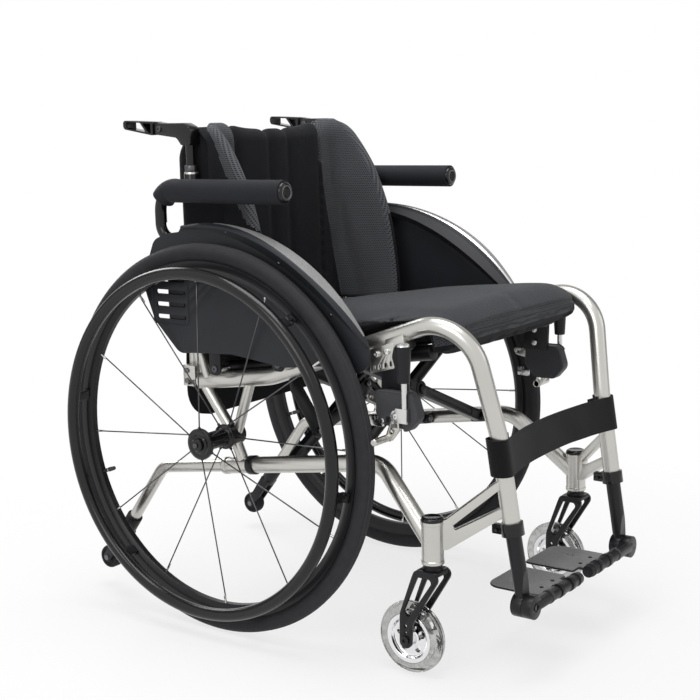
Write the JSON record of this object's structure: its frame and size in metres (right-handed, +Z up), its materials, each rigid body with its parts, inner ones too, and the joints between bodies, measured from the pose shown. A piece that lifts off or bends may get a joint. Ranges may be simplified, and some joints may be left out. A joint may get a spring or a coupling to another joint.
{
  "type": "folding active wheelchair",
  "caption": "Manual folding wheelchair with cross braces, spoked rear wheels with push rings, swivel casters, flip-up arms, folding push handles and a divided footrest.",
  "frame": {"origin": "on the floor, below the centre of the bounding box", "axes": "the front faces -Y, the user's left is +X and +Z is up"},
  "size_m": [0.5728, 0.8098, 0.7688],
  "materials": {
    "silver": "satin anodised",
    "black_alloy": "satin black",
    "black_plastic": "fine texture",
    "grey_plastic": "fine texture",
    "tyre": "ribbed rubber",
    "clear_tyre": "clear urethane",
    "foam": "soft foam",
    "mesh_cloth": "spacer mesh",
    "webbing": "woven",
    "chrome": "polished",
    "foot_plate": "grained"
  },
  "bodies": {
    "right_frame": {"right_upper_frame": "silver", "right_lower_frame": "silver", "right_axle_mount": "silver", "right_axle": "chrome", "right_back_post": "silver", "right_arm_post": "black_alloy", "right_side_guard": "black_plastic", "right_brake_body": "grey_plastic", "right_hanger": "black_alloy", "back_cloth": "mesh_cloth", "calf_strap": "webbing"},
    "left_frame": {"left_upper_frame": "silver", "left_lower_frame": "silver", "left_axle_mount": "silver", "left_axle": "chrome", "left_back_post": "silver", "left_arm_post": "black_alloy", "left_side_guard": "black_plastic", "left_brake_body": "grey_plastic", "left_hanger": "black_alloy"},
    "brace_a": {"brace_a": "black_alloy"},
    "brace_b": {"brace_b": "black_alloy"},
    "right_link": {"right_link": "black_alloy"},
    "left_link": {"left_link": "black_alloy"},
    "seat": {"seat_sling": "webbing", "cushion": "mesh_cloth"},
    "right_wheel": {"right_tyre": "tyre", "right_rim": "black_alloy", "right_hub": "black_alloy", "right_handrim": "black_alloy"},
    "right_axle_button": {"right_axle_button": "chrome"},
    "right_caster": {"right_caster_fork": "black_alloy"},
    "right_caster_wheel": {"right_caster_tyre": "clear_tyre", "right_caster_hub": "chrome"},
    "right_brake_lever": {"right_brake_lever": "black_plastic"},
    "right_brake_shoe": {"right_brake_shoe": "silver"},
    "right_arm": {"right_arm_tube": "black_alloy", "right_arm_pad": "foam"},
    "right_push_grip": {"right_push_grip": "black_plastic"},
    "right_footrest": {"right_foot_tube": "black_alloy", "right_footplate": "foot_plate"},
    "right_tipper": {"right_tipper": "silver"},
    "right_tipper_wheel": {"right_tipper_wheel": "black_plastic"},
    "left_wheel": {"left_tyre": "tyre", "left_rim": "black_alloy", "left_hub": "black_alloy", "left_handrim": "black_alloy"},
    "left_axle_button": {"left_axle_button": "chrome"},
    "left_caster": {"left_caster_fork": "black_alloy"},
    "left_caster_wheel": {"left_caster_tyre": "clear_tyre", "left_caster_hub": "chrome"},
    "left_brake_lever": {"left_brake_lever": "black_plastic"},
    "left_brake_shoe": {"left_brake_shoe": "silver"},
    "left_arm": {"left_arm_tube": "black_alloy", "left_arm_pad": "foam"},
    "left_push_grip": {"left_push_grip": "black_plastic"},
    "left_footrest": {"left_foot_tube": "black_alloy", "left_footplate": "foot_plate"},
    "left_tipper": {"left_tipper": "silver"},
    "left_tipper_wheel": {"left_tipper_wheel": "black_plastic"}
  },
  "joints": [
    {"name": "fold", "type": "hinge", "parent": "right_frame", "child": "brace_a", "pos_m": [-0.162, -0.00502, 0.2602], "axis": [0, -0.9893, 0.1457], "range_deg": [0, 42], "deforming": ["seat_sling", "cushion", "back_cloth", "calf_strap"]},
    {"name": "fold_centre", "type": "hinge", "parent": "brace_a", "child": "brace_b", "pos_m": [0, 0.00583, 0.33387], "axis": [0, -0.9893, 0.1457], "range_deg": [-84, 0]},
    {"name": "fold_left_foot", "type": "hinge", "parent": "brace_b", "child": "left_frame", "pos_m": [0.162, -0.00502, 0.2602], "axis": [0, -0.9893, 0.1457], "range_deg": [0, 42]},
    {"name": "seat_rise", "type": "slide", "parent": "right_frame", "child": "seat", "axis": [0, 0.1457, 0.9893], "range_m": [0, 0.178]},
    {"name": "right_link_turn", "type": "hinge", "parent": "right_frame", "child": "right_link", "pos_m": [-0.1414, 0.00097, 0.30086], "axis": [0, -0.9893, 0.1457], "range_deg": [0, 48]},
    {"name": "left_link_turn", "type": "hinge", "parent": "left_frame", "child": "left_link", "pos_m": [0.1414, 0.00097, 0.30086], "axis": [0, -0.9893, 0.1457], "range_deg": [-48, 0]},
    {"name": "right_wheel_spin", "type": "hinge", "parent": "right_frame", "child": "right_wheel", "pos_m": [-0.236, 0.09886, 0.295], "axis": [1, 0, 0], "continuous": true},
    {"name": "right_axle_button_push", "type": "slide", "parent": "right_frame", "child": "right_axle_button", "axis": [1, 0, 0], "range_m": [0, 0.003], "stiffness_N_per_m": 600},
    {"name": "right_caster_swivel", "type": "hinge", "parent": "right_frame", "child": "right_caster", "pos_m": [-0.212, -0.27414, 0.1635], "axis": [0, 0, 1], "continuous": true},
    {"name": "right_caster_spin", "type": "hinge", "parent": "right_caster", "child": "right_caster_wheel", "pos_m": [-0.212, -0.23814, 0.0515], "axis": [1, 0, 0], "continuous": true},
    {"name": "right_brake_pull", "type": "hinge", "parent": "right_frame", "child": "right_brake_lever", "pos_m": [-0.219, -0.22714, 0.366], "axis": [1, 0, 0], "range_deg": [0, 50]},
    {"name": "right_brake_shoe_turn", "type": "hinge", "parent": "right_frame", "child": "right_brake_shoe", "pos_m": [-0.211, -0.21714, 0.35], "axis": [1, 0, 0], "range_deg": [0, 11.5]},
    {"name": "right_arm_flip", "type": "hinge", "parent": "right_frame", "child": "right_arm", "pos_m": [-0.204, 0.18186, 0.583], "axis": [-1, 0, 0], "range_deg": [0, 100]},
    {"name": "right_grip_fold", "type": "hinge", "parent": "right_frame", "child": "right_push_grip", "pos_m": [-0.178, 0.22286, 0.755], "axis": [-1, 0, 0], "range_deg": [0, 90]},
    {"name": "right_footrest_lift", "type": "hinge", "parent": "right_frame", "child": "right_footrest", "pos_m": [-0.152, -0.38214, 0.106], "axis": [0, -1, 0], "range_deg": [0, 77.2]},
    {"name": "right_tipper_turn", "type": "hinge", "parent": "right_frame", "child": "right_tipper", "pos_m": [-0.184, 0.12086, 0.24166], "axis": [0, -0.9893, 0.1457], "range_deg": [0, 180]},
    {"name": "right_tipper_spin", "type": "hinge", "parent": "right_tipper", "child": "right_tipper_wheel", "pos_m": [-0.184, 0.38586, 0.05], "axis": [1, 0, 0], "continuous": true},
    {"name": "left_wheel_spin", "type": "hinge", "parent": "left_frame", "child": "left_wheel", "pos_m": [0.236, 0.09886, 0.295], "axis": [1, 0, 0], "continuous": true},
    {"name": "left_axle_button_push", "type": "slide", "parent": "left_frame", "child": "left_axle_button", "axis": [-1, 0, 0], "range_m": [0, 0.003], "stiffness_N_per_m": 600},
    {"name": "left_caster_swivel", "type": "hinge", "parent": "left_frame", "child": "left_caster", "pos_m": [0.212, -0.27414, 0.1635], "axis": [0, 0, 1], "continuous": true},
    {"name": "left_caster_spin", "type": "hinge", "parent": "left_caster", "child": "left_caster_wheel", "pos_m": [0.212, -0.23814, 0.0515], "axis": [1, 0, 0], "continuous": true},
    {"name": "left_brake_pull", "type": "hinge", "parent": "left_frame", "child": "left_brake_lever", "pos_m": [0.219, -0.22714, 0.366], "axis": [1, 0, 0], "range_deg": [0, 50]},
    {"name": "left_brake_shoe_turn", "type": "hinge", "parent": "left_frame", "child": "left_brake_shoe", "pos_m": [0.211, -0.21714, 0.35], "axis": [1, 0, 0], "range_deg": [0, 11.5]},
    {"name": "left_arm_flip", "type": "hinge", "parent": "left_frame", "child": "left_arm", "pos_m": [0.204, 0.18186, 0.583], "axis": [-1, 0, 0], "range_deg": [0, 100]},
    {"name": "left_grip_fold", "type": "hinge", "parent": "left_frame", "child": "left_push_grip", "pos_m": [0.178, 0.22286, 0.755], "axis": [-1, 0, 0], "range_deg": [0, 90]},
    {"name": "left_footrest_lift", "type": "hinge", "parent": "left_frame", "child": "left_footrest", "pos_m": [0.152, -0.38214, 0.106], "axis": [0, 1, 0], "range_deg": [0, 77.2]},
    {"name": "left_tipper_turn", "type": "hinge", "parent": "left_frame", "child": "left_tipper", "pos_m": [0.184, 0.12086, 0.24166], "axis": [0, 0.9893, -0.1457], "range_deg": [0, 180]},
    {"name": "left_tipper_spin", "type": "hinge", "parent": "left_tipper", "child": "left_tipper_wheel", "pos_m": [0.184, 0.38586, 0.05], "axis": [1, 0, 0], "continuous": true}
  ],
  "couplings": [
    {"joint": "fold_centre", "follows": "fold", "ratio": -2},
    {"joint": "fold_left_foot", "follows": "fold", "ratio": 1},
    {"joint": "seat_rise", "follows": "fold", "m_per_rad": 0.2421},
    {"joint": "right_link_turn", "follows": "fold", "ratio": 1.14},
    {"joint": "left_link_turn", "follows": "fold", "ratio": -1.14},
    {"joint": "right_brake_shoe_turn", "follows": "right_brake_pull", "ratio": 0.22},
    {"joint": "right_footrest_lift", "follows": "fold", "ratio": 1.8333},
    {"joint": "left_brake_shoe_turn", "follows": "left_brake_pull", "ratio": 0.22},
    {"joint": "left_footrest_lift", "follows": "fold", "ratio": 1.8333}
  ]
}
